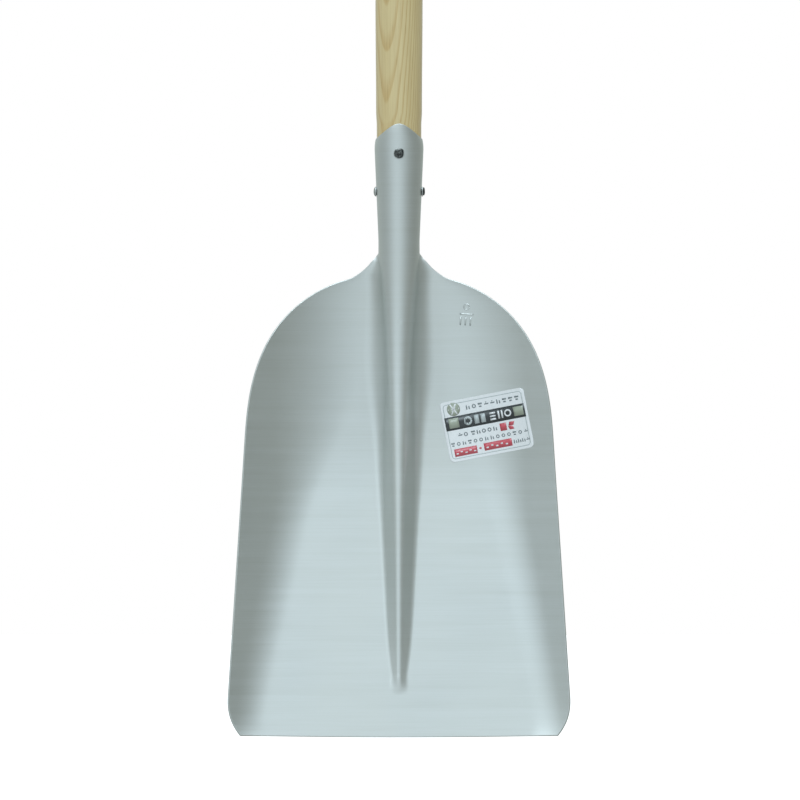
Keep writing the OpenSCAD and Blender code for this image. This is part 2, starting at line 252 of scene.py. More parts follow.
def aluminium_sheet():
    """Satin anodised aluminium: faint rolling lines across the blade, cloudy patches, fine scratches."""
    mat, tree, shader = principled("aluminium_sheet", (0.74, 0.76, 0.74), 1.0, 0.4)
    lines = noise_value(tree, (16, 16, 1100), 2.0, 0.6)
    broad = noise_value(tree, (7, 7, 220), 2.0, 0.5)
    cloud = noise_value(tree, (14, 14, 9), 3.0, 0.5)
    grain = noise_value(tree, (1600, 1600, 1600), 2.0, 0.5)
    streaks = math_node(tree, "MULTIPLY_ADD", lines, 0.6, math_node(tree, "MULTIPLY", broad, 0.4))
    tone = remap(tree, streaks, 0.35, 0.65, 0.0, 1.0)
    base = mix_color(tree, tone, (0.715, 0.735, 0.715), (0.755, 0.775, 0.765))
    base = mix_color(tree, remap(tree, cloud, 0.35, 0.7, 0.0, 0.35), base, (0.74, 0.74, 0.70))
    tree.links.new(base, shader.inputs["Base Color"])
    streak_rough = remap(tree, streaks, 0.3, 0.7, 0.36, 0.46)
    rough = math_node(tree, "ADD", streak_rough, remap(tree, cloud, 0.3, 0.7, -0.03, 0.03))
    tree.links.new(rough, shader.inputs["Roughness"])
    soft = bump(tree, streaks, 0.00003, 0.5)
    tree.links.new(bump(tree, grain, 0.00001, 0.4, soft), shader.inputs["Normal"])
    return mat


def wood(name, pale, grain, deep, pith, tilt, ring, drift=0.0025, gloss=0.42, turn=(0, 0, 0)):
    """Ring-porous hardwood along Z: growth rings about a pith line, pores, flecks and a satin varnish."""
    mat, tree, shader = principled(name, pale, 0.0, gloss)
    coords = node(tree, "ShaderNodeTexCoord").outputs["Object"]
    coords = node(tree, "ShaderNodeMapping", {"Vector": coords, "Rotation": turn}).outputs["Vector"]
    axes = node(tree, "ShaderNodeSeparateXYZ", {"Vector": coords})
    x = math_node(tree, "SUBTRACT", axes.outputs["X"], pith[0])
    y = math_node(tree, "SUBTRACT", axes.outputs["Y"], pith[1])
    radial = math_node(tree, "SQRT", math_node(tree, "ADD", math_node(tree, "MULTIPLY", x, x),
                                               math_node(tree, "MULTIPLY", y, y)))
    sway = math_node(tree, "SUBTRACT", noise_value(tree, (22, 22, 5), 2.0, coords=coords), 0.5)
    sway = math_node(tree, "MULTIPLY", sway, drift)
    leaned = math_node(tree, "MULTIPLY_ADD", axes.outputs["Z"], tilt, radial)
    rings = math_node(tree, "FRACT", math_node(tree, "DIVIDE", math_node(tree, "ADD", leaned, sway), ring))
    early = remap(tree, rings, 0.0, 0.45, 1.0, 0.0, "SMOOTHSTEP")
    edge = remap(tree, rings, 0.90, 1.0, 0.0, 1.0, "SMOOTHSTEP")
    line = math_node(tree, "MAXIMUM", early, edge)
    pores = remap(tree, noise_value(tree, (1500, 1500, 45), 2.0, 0.6, coords), 0.56, 0.68, 0.0, 1.0)
    pores = math_node(tree, "MULTIPLY", pores, math_node(tree, "MULTIPLY_ADD", line, 0.75, 0.25))
    fibre = noise_value(tree, (700, 700, 16), 3.0, 0.6, coords)
    tint = noise_value(tree, (40, 40, 6), 3.0, 0.5, coords)
    base = mix_color(tree, remap(tree, tint, 0.3, 0.7, 0.0, 0.3), pale, grain)
    base = mix_color(tree, math_node(tree, "MULTIPLY", line, 0.55), base, grain)
    base = mix_color(tree, remap(tree, fibre, 0.35, 0.7, 0.0, 0.22), base, deep)
    base = mix_color(tree, math_node(tree, "MULTIPLY", pores, 0.5), base, deep)
    tree.links.new(base, shader.inputs["Base Color"])
    tree.links.new(remap(tree, fibre, 0.3, 0.7, gloss - 0.06, gloss + 0.1), shader.inputs["Roughness"])
    height = math_node(tree, "SUBTRACT", fibre, pores)
    tree.links.new(bump(tree, height, 0.00008, 0.5), shader.inputs["Normal"])
    shader.inputs["Coat Weight"].default_value = 0.8
    shader.inputs["Coat Roughness"].default_value = 0.3
    return mat


def worn_steel(name, color, dark, roughness, patch=90.0):
    """Steel with a mottled film of lighter and darker patches, and pits."""
    mat, tree, shader = principled(name, color, 1.0, roughness)
    blotch = noise_value(tree, (patch * 3,) * 3, 4.0, 0.6)
    pits = noise_value(tree, (1800, 1800, 1800), 2.0, 0.6)
    base = mix_color(tree, remap(tree, blotch, 0.35, 0.65, 0.0, 1.0), color, dark)
    tree.links.new(base, shader.inputs["Base Color"])
    rough = remap(tree, blotch, 0.3, 0.7, roughness - 0.08, roughness + 0.15)
    tree.links.new(rough, shader.inputs["Roughness"])
    tree.links.new(bump(tree, pits, 0.00006, 0.5), shader.inputs["Normal"])
    return mat


def enamel(name, color, roughness):
    """Metallic silver enamel: fine flake, light orange peel and scuffs."""
    mat, tree, shader = principled(name, color, 0.35, roughness)
    flake = noise_value(tree, (5200, 5200, 5200), 1.0, 0.5)
    peel = noise_value(tree, (420, 420, 420), 2.0, 0.5)
    scuff = noise_value(tree, (60, 60, 240), 4.0, 0.65)
    darker = tuple(c * 0.86 for c in color)
    base = mix_color(tree, remap(tree, flake, 0.4, 0.6, 0.0, 1.0), darker, color)
    base = mix_color(tree, remap(tree, scuff, 0.62, 0.72, 0.0, 0.5), base, tuple(c * 0.7 for c in color))
    tree.links.new(base, shader.inputs["Base Color"])
    tree.links.new(remap(tree, scuff, 0.4, 0.75, roughness, roughness + 0.2), shader.inputs["Roughness"])
    tree.links.new(bump(tree, peel, 0.00005, 0.35), shader.inputs["Normal"])
    return mat


def printed(name, color, roughness=0.35):
    """Label film or ink: slight print mottle under a thin gloss."""
    mat, tree, shader = principled(name, color, 0.0, roughness)
    mottle = noise_value(tree, (900, 900, 900), 2.0, 0.6)
    base = mix_color(tree, remap(tree, mottle, 0.3, 0.7, 0.0, 1.0), tuple(c * 0.93 for c in color), color)
    tree.links.new(base, shader.inputs["Base Color"])
    wave = noise_value(tree, (130, 130, 130), 2.0, 0.5)
    rough = remap(tree, mottle, 0.3, 0.7, roughness - 0.05, roughness + 0.08)
    tree.links.new(rough, shader.inputs["Roughness"])
    tree.links.new(bump(tree, wave, 0.0001, 0.3), shader.inputs["Normal"])
    shader.inputs["Coat Weight"].default_value = 1.0
    shader.inputs["Coat Roughness"].default_value = 0.12
    shader.inputs["Coat IOR"].default_value = 1.5
    return mat


ALUMINIUM = aluminium_sheet()
SHAFT_WOOD = wood("ash_shaft", (0.90, 0.72, 0.38), (0.68, 0.42, 0.14), (0.50, 0.29, 0.09),
                  pith=(0.0245, 0.0375), tilt=0.04, ring=0.0018)
GRIP_WOOD = wood("ash_grip", (0.89, 0.68, 0.38), (0.66, 0.39, 0.15), (0.48, 0.27, 0.09),
                 pith=(0.03, 0.03), tilt=0.03, ring=0.0046, turn=(0, pi / 2, 0))
TAIL_STEEL = worn_steel("hammered_steel", (0.20, 0.21, 0.20), (0.03, 0.03, 0.03), 0.42, patch=200.0)
HEAD_STEEL = worn_steel("rivet_steel", (0.62, 0.63, 0.62), (0.42, 0.42, 0.40), 0.36)
ZINC = worn_steel("zinc_steel", (0.66, 0.67, 0.68), (0.50, 0.51, 0.53), 0.34)
BURR = worn_steel("burr_aluminium", (0.70, 0.72, 0.70), (0.50, 0.51, 0.50), 0.4)
YOKE = enamel("yoke_enamel", (0.60, 0.62, 0.62), 0.34)
FILM = printed("label_film", (0.97, 0.96, 0.97), 0.32)
INK_BLACK = printed("ink_black", (0.01, 0.014, 0.016), 0.3)
INK_GREY = printed("ink_grey", (0.22, 0.25, 0.26), 0.4)
INK_PALE = printed("ink_pale", (0.58, 0.62, 0.62), 0.4)
INK_RED = printed("ink_red", (0.68, 0.07, 0.10), 0.35)
INK_GREEN = printed("ink_green", (0.42, 0.45, 0.35), 0.4)


# ---- Blade: the sheet's front face, as sections at constant height ----

SOCKET_TAPER = (MOUTH_R - NECK_R) / (MOUTH_Z - NECK_Z)
CREST_BEND_Z = 250
FLOOR_BEND_Z = 175
FLOOR_END_SLOPE = -0.05
RIB_TIP_Z = 30
RIB_START_Z = 45
RIB_START_H = 2.7
ROLL = (345, 362)
FOOT_FADE = (343, 351)
ROLL_TRIM = 0.35
SEAM = 1.4
PLAIN_Z = 400


def socket_r(z):
    return min(MOUTH_R, NECK_R + SOCKET_TAPER * (z - NECK_Z))


def half_width(z):
    """Half width of the blade: straight sides, superellipse shoulder, cut corners, flare to the neck."""
    q = min(1.0, max(0.0, (z - 212) / 122.4))
    body = (BLADE_W / 2 + 1.4 - 0.0635 * z) * (1 - q ** 2.8) ** (1 / 2.3)
    body -= 10.6 * max(0.0, 1 - z / 30.5) ** 2.45
    flare = 53.1 - sqrt(40.6 ** 2 - (NECK_Z + 17.6 - max(min(z, NECK_Z), 328)) ** 2)
    w = smooth(326, 333, z)
    return (1 - w) * body + w * flare


def floor_y(z):
    s, span = tan(LIFT), NECK_Z - FLOOR_BEND_Z
    u = max(0.0, min(z, NECK_Z) - FLOOR_BEND_Z)
    return s * (min(z, FLOOR_BEND_Z) + u) + (FLOOR_END_SLOPE - s) * u * u / (2 * span)


CREST_SPAN = NECK_Z - CREST_BEND_Z
CREST_SLOPE = ((AXIS_Y - NECK_R + SOCKET_TAPER * CREST_SPAN / 2 - floor_y(RIB_START_Z) + RIB_START_H)
               / (CREST_BEND_Z - RIB_START_Z + CREST_SPAN / 2))


def crest_y(z):
    if z >= NECK_Z:
        return AXIS_Y - socket_r(z)
    w = min(NECK_Z - z, CREST_SPAN)
    v = max(0.0, CREST_BEND_Z - z)
    return (AXIS_Y - NECK_R + SOCKET_TAPER * w - (CREST_SLOPE + SOCKET_TAPER) * w * w / (2 * CREST_SPAN)
            - CREST_SLOPE * v)


def rib(z):
    """Flank slope, crest radius, foot radius and flank length of the rib."""
    h = min(max(z, RIB_START_Z), NECK_Z)
    slope = smaller(42 + 0.17 * (h - 48) - 10 * (1 - smooth(30, 120, h)), 72, 8)
    slope = radians(min(90, slope + 18 * smooth(334, 349, h)))
    crest = 3.8 + 11.2 * max(0.0, (h - 60) / (NECK_Z - 60)) ** 2.2
    foot = 5 + 4 * smooth(140, 215, h) + 8 * smooth(205, 268, h) - 5 * smooth(268, 330, h)
    foot -= 11 * smooth(333, 350, h)
    flank = (floor_y(h) - crest_y(h) - (crest + foot) * (1 - cos(slope))) / sin(slope)
    return slope, crest, foot, flank


def rib_rise(z):
    return smooth(RIB_TIP_Z, RIB_TIP_Z + 14, z)


def rib_w(z):
    slope, crest, foot, flank = rib(z)
    flat = (crest + foot) * slope + flank
    full = (crest + foot) * sin(slope) + flank * cos(slope)
    return flat + (full - flat) * rib_rise(z) ** 2


def fold_x(z):
    return larger(115 - 0.22 * z, 60, 8)


def fold_r(z):
    return 38 + 12 * smooth(0, 150, z) + 62 * smooth(150, 265, z)


def outer(z):
    """Floor and wall: flat width, fold radius, fold angle and wall length."""
    wide = max(0.3, half_width(z) - SHEET_T * sin(WALL_SLOPE) - rib_w(z))
    fold_at = smaller(larger(fold_x(z) - rib_w(z), 11, 14), 0.9 * wide + 6, 12)
    tangent = smaller(fold_r(z) * tan(WALL_SLOPE / 2), fold_at, 4)
    r = tangent / tan(WALL_SLOPE / 2)
    flat = min(fold_at - tangent, wide)
    angle = min(WALL_SLOPE, asin(min(1.0, (wide - flat) / r)))
    return flat, r, angle, max(0.0, (wide - flat - r * sin(angle)) / cos(angle))


# Steps along the rib's crest, flank and foot, and along the floor and wall
STEP_COUNTS = (12, 5, 12, 56)
HALF_N = sum(STEP_COUNTS)


def blade_steps(z):
    slope, crest, foot, flank = rib(z)
    rise = rib_rise(z)
    flat, r, angle, wall = outer(z)
    n_crest, n_flank, n_foot, n_outer = STEP_COUNTS
    ds = (flat + r * angle + wall) / n_outer

    def heading(s):
        return -min(angle, max(0.0, s - flat) / r)

    steps = [(crest * slope / n_crest, slope * rise / n_crest)] * n_crest
    steps += [(flank / n_flank, 0.0)] * n_flank
    steps += [(foot * slope / n_foot, -slope * rise * (1 - smooth(*FOOT_FADE, z)) / n_foot)] * n_foot
    steps += [(ds, heading(ds * i) - heading(ds * (i - 1))) for i in range(1, n_outer + 1)]
    return np.array(steps)


def socket_steps(z):
    r = socket_r(z)
    end = pi - asin(SEAM / 2 / r)
    arcs = (radians(75), radians(20), radians(38), end - radians(133))
    return np.array([(r * a / n, a / n) for n, a in zip(STEP_COUNTS, arcs) for _ in range(n)])


def section(z):
    """Points (x, y) of the right half of the front face at one height, from the crest outwards."""
    w = smooth(*ROLL, z)
    steps = (1 - w) * blade_steps(z) + w * socket_steps(max(z, NECK_Z))
    length, turn = steps[:, 0], steps[:, 1]
    length[HALF_N - STEP_COUNTS[3]:] *= 1 - ROLL_TRIM * sin(pi * w)
    before = np.concatenate([[0.0], np.cumsum(turn)[:-1]])
    chord = length * np.sinc(turn / 2 / pi)
    x = np.concatenate([[0.0], np.cumsum(chord * np.cos(before + turn / 2))])
    y = np.concatenate([[0.0], np.cumsum(chord * np.sin(before + turn / 2))])
    y += floor_y(z) - y[HALF_N - STEP_COUNTS[3]] if z < 150 else crest_y(z)
    return x, y


def edge_bow(x, z):
    """The cutting edge bows out in the middle, so the sheet's lowest stretch rises at the sides."""
    return 1.5 * (x / (BLADE_W / 2)) ** 2 * max(0.0, 1 - z / 40) ** 2


def rim_z(a):
    """Socket mouth: highest at the front, lower at the sides, lowest at the seam."""
    back = 13.7 * (1 - sin(a)) if a > pi / 2 else 0.0
    return TONGUE_Z - 16.2 * (hypot(sin(a), 0.4) - 0.4) - back


def hand_worked(x, z):
    """Small waves that pressing leaves in the sheet, as a shift of the face in millimetres."""
    wave = noise.noise(Vector((x / 45, 3.7, z / 60))) * 0.16
    fine = noise.noise(Vector((x / 14, 9.1, z / 18))) * 0.025
    return (wave + fine) * smooth(8, 30, z) * (1 - smooth(300, 345, z))


DIMPLE_Z = 299
DIMPLE_R = 1.3


def sheet_rows():
    """Heights of the sections, closer together where the sheet bends fast."""
    rows = [0.0, 0.2, 0.6, 1.5]
    while rows[-1] < PLAIN_Z - 1.5:
        z = rows[-1]
        step = 0.6 if abs(z - DIMPLE_Z) < 3 else 1.0 if 322 < z < 362 or z < 50 else 2.0
        rows.append(z + step)
    return rows[:-1] + [PLAIN_Z]


# Distances below the rim, as fractions of the height above the plain part of the socket
RIM_STEPS = [0.96 - 0.055 * k for k in range(14)] + [0.22 - 0.015 * k for k in range(14)] + [0.01, 0.0]


def sheet_grid():
    """Right half of the front face as rows of points, and the sheet's thickness in each row."""
    rows, thick = [], []
    for z in sheet_rows():
        x, y = section(z)
        rows.append([(px, py, z + edge_bow(px, z)) for px, py in zip(x, y)])
        thick.append([SHEET_T] * len(x))
    angles = np.concatenate([[0.0], np.cumsum(socket_steps(PLAIN_Z)[:, 1])])
    for step in RIM_STEPS:
        row, gauge = [], []
        for a in angles:
            drop = (rim_z(a) - PLAIN_Z) * step
            q = max(0.0, 1 - drop / 7) ** 2
            r = socket_r(rim_z(a) - drop) - 0.75 * q
            row.append((r * sin(a), AXIS_Y - r * cos(a), rim_z(a) - drop))
            gauge.append(SHEET_T - 0.85 * q)
        rows.append(row)
        thick.append(gauge)
    return np.array(rows), np.array(thick)


def beside_edge(grid):
    """Adds a column close to each side edge, so that the edge's rounding stays narrow."""
    first = grid[:, :1] + 0.12 * (grid[:, 1:2] - grid[:, :1])
    last = grid[:, -1:] + 0.12 * (grid[:, -2:-1] - grid[:, -1:])
    return np.concatenate([grid[:, :1], first, grid[:, 1:-1], last, grid[:, -1:]], axis=1)


def blade():
    half, thick = sheet_grid()
    left = half[:, :0:-1] * np.array([-1, 1, 1])
    front = np.concatenate([left, half], axis=1)
    thick = np.concatenate([thick[:, :0:-1], thick], axis=1)
    front, thick = beside_edge(front), beside_edge(thick)
    for row in front:
        for p in row:
            if p[2] < NECK_Z:
                p[1] += hand_worked(p[0], p[2])
            d = hypot(p[0], p[2] - DIMPLE_Z)
            if d < 3 * DIMPLE_R and p[1] < AXIS_Y:
                p[1] += 0.28 * np.exp(-(d / DIMPLE_R) ** 2)
    across = np.gradient(front, axis=1)
    along = np.gradient(front, axis=0)
    normal = np.cross(along, across)
    normal /= np.linalg.norm(normal, axis=2, keepdims=True)
    middle = front.shape[1] // 2
    if normal[10, middle, 1] < 0:
        normal = -normal
    back = front + normal * thick[:, :, None]
    rows, cols = front.shape[:2]
    verts = [row_point(*p) for p in front.reshape(-1, 3)] + [row_point(*p) for p in back.reshape(-1, 3)]
    faces = []
    for s in range(2):
        base = s * rows * cols
        for j in range(rows - 1):
            for i in range(cols - 1):
                q = [base + j * cols + i, base + j * cols + i + 1,
                     base + (j + 1) * cols + i + 1, base + (j + 1) * cols + i]
                faces.append(q[::-1] if s else q)
    border = ([(0, i) for i in range(cols)] + [(j, cols - 1) for j in range(1, rows)]
              + [(rows - 1, i) for i in range(cols - 2, -1, -1)] + [(j, 0) for j in range(rows - 2, 0, -1)])
    n = len(border)
    loops = [[j * cols + i for j, i in border]]
    lean = (0.18, 0.5, 0.82)
    for f in lean:
        loop = []
        for k, (j, i) in enumerate(border):
            (ja, ia), (jb, ib) = border[k - 1], border[(k + 1) % n]
            out = np.cross(front[jb, ib] - front[ja, ia], normal[j, i])
            out /= np.linalg.norm(out)
            inside = front[min(max(j, 1), rows - 2), min(max(i, 1), cols - 2)]
            if np.dot(out, front[j, i] - inside) < 0:
                out = -out
            p = front[j, i] + normal[j, i] * thick[j, i] * f + out * 0.2 * sin(pi * f)
            loop.append(len(verts))
            verts.append(row_point(*p))
        loops.append(loop)
    loops.append([rows * cols + j * cols + i for j, i in border])
    for a, b in zip(loops, loops[1:]):
        faces += [(a[k], a[(k + 1) % n], b[(k + 1) % n], b[k]) for k in range(n)]
    return new_object("blade_sheet", verts, faces, [ALUMINIUM], ["blade"])


blade()


# ---- Label and embossed mark: thin films that follow the sheet ----

LABEL_AT = (63.5, 224.7)
LABEL_TURN = radians(11)
LABEL_W = 62
LABEL_H = 44
LABEL_CORNER = 3.2
MARK_AT = (48.5, 303)


def face_point(x, z, lift):
    """A point on the scoop's front face, lifted off it by some millimetres."""
    def depth(px, pz):
        flat, r, angle, _ = outer(pz)
        d = max(0.0, px - rib_w(pz) - flat)
        e = min(d, r * sin(angle))
        return floor_y(pz) - r + sqrt(r * r - e * e) - (d - e) * tan(angle) + hand_worked(px, pz)
    y = depth(x, z)
    slope_x = depth(x + 0.5, z) - depth(x - 0.5, z)
    slope_z = depth(x, z + 0.5) - depth(x, z - 0.5)
    normal = Vector((slope_x, -1, slope_z)).normalized()
    return row_point(*(Vector((x, y, z)) + normal * lift))


def film(grid, low, high):
    """Vertices and faces of a closed film over a grid of face points."""
    rows, cols = len(grid), len(grid[0])
    verts = [face_point(x, z, lift) for lift in (high, low) for row in grid for x, z in row]
    faces = []
    for j in range(rows - 1):
        for i in range(cols - 1):
            a = j * cols + i
            quad = (a, a + 1, a + cols + 1, a + cols)
            faces.append(quad)
            faces.append(tuple(rows * cols + k for k in reversed(quad)))
    border = ([i for i in range(cols)] + [j * cols + cols - 1 for j in range(1, rows)]
              + [(rows - 1) * cols + i for i in range(cols - 2, -1, -1)]
              + [j * cols for j in range(rows - 2, 0, -1)])
    n = len(border)
    faces += [(border[k], border[(k + 1) % n], rows * cols + border[(k + 1) % n], rows * cols + border[k])
              for k in range(n)]
    return verts, faces


def films(name, grids, low, high, material, slot, replaces=()):
    verts, faces = [], []
    for grid in grids:
        v, f = film(grid, low, high)
        faces += [tuple(i + len(verts) for i in face) for face in f]
        verts += v
    return new_object(name, verts, faces, [material], replaces)


def placed(grid, at, turn):
    """Turns a flat grid of (u, v) points and moves it to a place on the face."""
    c, s = cos(turn), sin(turn)
    return [[(at[0] + u * c - v * s, at[1] + u * s + v * c) for u, v in row] for row in grid]


def block(u0, v0, u1, v1, lean=0.0):
    n = max(1, int(abs(u1 - u0) / 1.5))
    return [[(u0 + (u1 - u0) * i / n + lean * (v - v0), v) for i in range(n + 1)] for v in (v0, v1)]


def disc(u, v, r, inner=0.0):
    steps = 28
    return [[(u + q * cos(2 * pi * k / steps), v + q * sin(2 * pi * k / steps)) for q in (inner, r)]
            for k in range(steps + 1)]


def rounded_sheet(w, h, corner):
    """Grid that fills a rectangle with rounded corners."""
    levels = [h / 2 - corner * (1 - sin(radians(a))) for a in range(0, 91, 15)]
    levels = [-v for v in reversed(levels)] + [v * h / 12 for v in range(-4, 5)] + levels
    grid = []
    for v in sorted(set(levels)):
        over = max(0.0, abs(v) - (h / 2 - corner))
        half = w / 2 - corner + sqrt(max(0.0, corner * corner - over * over))
        grid.append([(half * (2 * i / 44 - 1), v) for i in range(45)])
    return grid


def frame_line(w, h, corner, width):
    """Grid of a thin line round a rectangle with rounded corners."""
    path = []
    for q, (sx, sy) in enumerate(((1, 1), (-1, 1), (-1, -1), (1, -1))):
        cx, cy = sx * (w / 2 - corner), sy * (h / 2 - corner)
        path += [(cx, cy, pi / 2 * q + pi / 2 * k / 6) for k in range(7)]
        nx, ny = ((-1, 1), (-1, -1), (1, -1), (1, 1))[q]
        ex, ey = nx * (w / 2 - corner), ny * (h / 2 - corner)
        steps = 24 if q % 2 == 0 else 14
        path += [(cx + (ex - cx) * k / steps, cy + (ey - cy) * k / steps, pi / 2 * (q + 1))
                 for k in range(1, steps)]
    path.append(path[0])
    radii = (corner - width / 2, corner + width / 2)
    return [[(x + r * cos(a), y + r * sin(a)) for r in radii] for x, y, a in path]


def small_marks(centres, v, size, rng):
    """Rows of plain pictogram-like dabs: bars, dots and boxes, no letters."""
    grids = []
    for u in centres:
        kind = rng.randrange(4)
        s = size / 2
        if kind == 0:
            grids += [block(u - s, v + s * 0.2, u + s, v + s)]
            grids += [block(u - s * 0.6, v - s, u + s * 0.6, v - s * 0.3)]
        elif kind == 1:
            grids += [block(u - s * 0.9, v - s, u - s * 0.3, v + s)]
            grids += [block(u + s * 0.3, v - s, u + s * 0.9, v + s * 0.5)]
        elif kind == 2:
            grids += [disc(u, v, s, s * 0.5)]
        else:
            grids += [block(u - s, v - s * 0.3, u + s, v + s * 0.3, 0.5)]
            grids += [block(u - s * 0.3, v + s * 0.6, u + s * 0.3, v + s)]
    return grids


def label():
    rng = random.Random(4)

    def lay(grids, up=1.2):
        scaled = [[[(1.04 * u, 1.07 * v + up) for u, v in row] for row in g] for g in grids]
        return [placed(g, LABEL_AT, LABEL_TURN) for g in scaled]

    def spread(first, last, count):
        return [first + (last - first) * k / (count - 1) for k in range(count)]

    sheet = rounded_sheet(LABEL_W / 1.04, LABEL_H / 1.07, LABEL_CORNER)
    films("label_film", lay([sheet], 0), 0.02, 0.14, FILM, "label_film", ["label"])
    ink = (0.14, 0.165)
    border = frame_line(LABEL_W / 1.04 - 4.4, LABEL_H / 1.07 - 4.2, 2.2, 0.55)
    films("label_frame", lay([border], 0), *ink, INK_PALE, "label_film")
    band = [block(-28.2, -0.4, 28.2, 8.8)]
    films("label_band", lay(band), *ink, INK_BLACK, "label_film")
    over = (0.165, 0.185)
    ends = [block(-25.6, 1.0, -18.6, 7.6), block(20.2, 1.2, 27.0, 7.4)]
    films("label_band_ends", lay(ends), *over, INK_GREEN, "label_film")
    light = [disc(-12.2, 4.2, 3.0, 1.4)]
    light += [block(-7.6 + 4.6 * k, 1.2, -4.4 + 4.6 * k, 7.2) for k in range(2)]
    films("label_band_blocks", lay(light), *over, INK_PALE, "label_film")
    white = [block(3.4, 5.6, 7.4, 6.8), block(3.4, 3.6, 7.4, 4.6), block(3.4, 1.4, 7.4, 2.6)]
    white += [block(9.0, 1.6, 10.2, 7.0), block(11.4, 1.6, 12.6, 7.0), disc(16.0, 4.3, 2.5, 1.5)]
    films("label_band_marks", lay(white), *over, FILM, "label_film")
    flake = [placed(block(-4.0, -0.5, 4.0, 0.5), (-20.6, 13.6), radians(60 * k)) for k in range(3)]
    films("label_emblem", lay([disc(-20.6, 13.6, 4.6)]), *ink, INK_GREEN, "label_film")
    films("label_flake", lay(flake), *over, FILM, "label_film")
    grey = small_marks(spread(-10.5, 24.0, 9), 13.2, 2.9, rng)
    grey += small_marks([-19.5, -15.4, -10.2, -6.4, -2.6, 1.4, 5.4], -4.4, 2.8, rng)
    grey += small_marks(spread(-25.5, 26.0, 14), -10.0, 2.5, rng)
    grey += small_marks(spread(17.6, 26.4, 4), -15.6, 2.5, rng)
    films("label_small_marks", lay(grey), *ink, INK_GREY, "label_film")
    red = [block(8.9, -7.0, 13.5, -1.8)]
    red += [block(14.8, -4.4, 18.4, -1.8, 0.4), block(15.4, -7.0, 18.6, -4.6, -0.4)]
    red += [block(-25.6, -18.4, -9.6, -13.2), disc(-7.2, -15.6, 0.8), block(-4.6, -18.0, 15.2, -12.9)]
    films("label_red_blocks", lay(red), *ink, INK_RED, "label_film")
    specks = [block(-24.4 + 3.1 * k, -17.0 + k % 2, -22.8 + 3.1 * k, -16.2 + k % 2) for k in range(5)]
    specks += [block(-3.0 + 3.4 * k, -16.6 + k % 2, -1.4 + 3.4 * k, -15.6 + k % 2) for k in range(5)]
    films("label_specks", lay(specks), *over, FILM, "label_film")


def embossed_mark():
    """A ring over a bar and three short strokes, barely raised."""
    grids = [disc(0, 7.4, 2.4, 1.5), block(-4.6, 1.6, 5.4, 2.6)]
    grids += [block(-4.2 + 3.6 * k, -6.0, -3.2 + 3.6 * k, 0.4) for k in range(3)]
    grids = [placed(g, MARK_AT, radians(-4)) for g in grids]
    films("blade_mark", grids, -0.1, 0.13, ALUMINIUM, "sheet_aluminium")


label()
embossed_mark()


# ---- Shaft, rivets and burrs ----

SHAFT_TIP_Z = 304


def in_socket_r(z):
    return socket_r(z) - SHEET_T - 0.05


def shaft():
    """Turned shaft: rounded tip, cone in the socket, a slow swell above it, eased top edge."""
    profile = [(0.0, SHAFT_TIP_Z)] + [(6.8 + 3.0 * sin(a), SHAFT_TIP_Z + 3.0 * (1 - cos(a)))
                                      for a in np.linspace(0, pi / 2, 8)]
    profile += [(in_socket_r(NECK_Z) - 0.1, NECK_Z + 2), (in_socket_r(MOUTH_Z), MOUTH_Z),
                (in_socket_r(MOUTH_Z), TONGUE_Z), (SHAFT_R - 0.45, TONGUE_Z + 8)]
    for z in np.linspace(TONGUE_Z + 20, SHAFT_TOP - 3, 44):
        profile.append((SHAFT_R - 0.45 * (1 - smooth(TONGUE_Z + 8, TONGUE_Z + 90, z)), z))
    profile += [(SHAFT_R - 1.5 * (1 - cos(a)), SHAFT_TOP - 1.5 + 1.5 * sin(a))
                for a in np.linspace(0, pi / 2, 6)]
    profile.append((0.0, SHAFT_TOP))

    def turned_by_hand(r, z, a):
        wave = noise.noise(Vector((cos(a) * 0.6, sin(a) * 0.6, z / 70)))
        return r + (0.09 * wave if z > TONGUE_Z + 5 and r > 16 else 0.0), z
    verts, faces = lathe(profile, 128, turned_by_hand)
    verts = turned(verts, (0, 0, 1), (0, AXIS_Y, 0))
    new_object("shaft_wood", verts, faces, [SHAFT_WOOD], ["shaft"])


